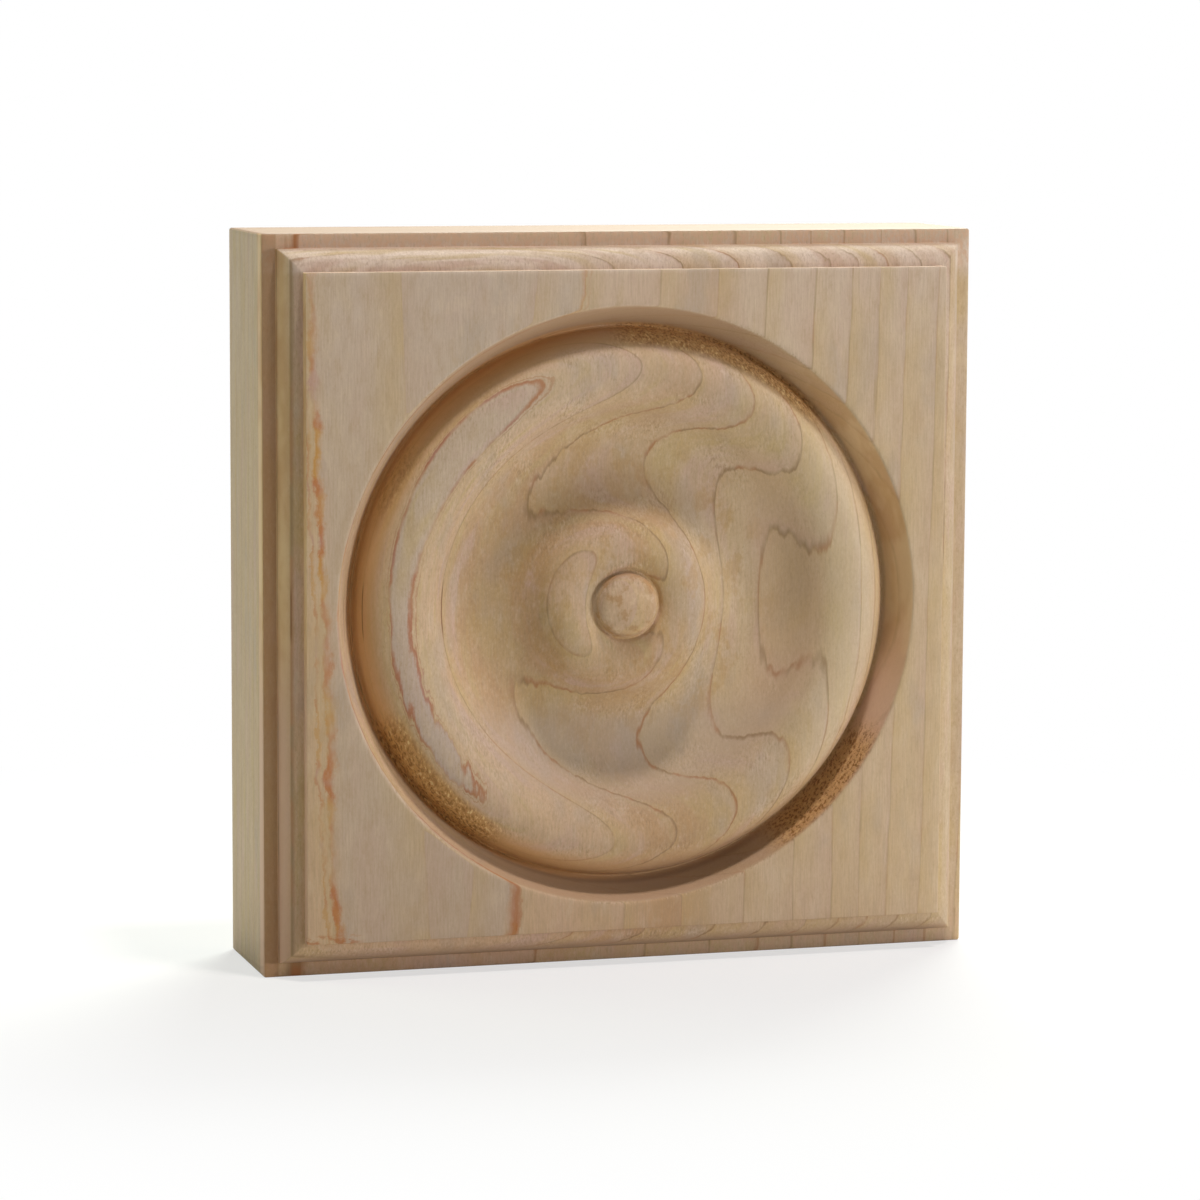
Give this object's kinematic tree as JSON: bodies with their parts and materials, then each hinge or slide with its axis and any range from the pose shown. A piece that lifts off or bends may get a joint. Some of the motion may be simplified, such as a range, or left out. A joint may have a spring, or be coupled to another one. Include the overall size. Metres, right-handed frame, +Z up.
{
  "type": "corner rosette block",
  "caption": "Square solid wood corner block for door and window casing, with a turned rosette sunk in its face and a moulded edge.",
  "frame": {"origin": "centre of the flat back face", "axes": "+X to the right as seen from the front, +Y out of the back towards the wall, +Z up along the grain; the turned face looks along -Y"},
  "size_m": [0.0888, 0.0222, 0.0888],
  "materials": {
    "maple": "unfinished sanded hard maple, grain running up and down, with thin brown growth-ring lines"
  },
  "bodies": {
    "root": {"rosette_block": "maple"}
  },
  "joints": []
}
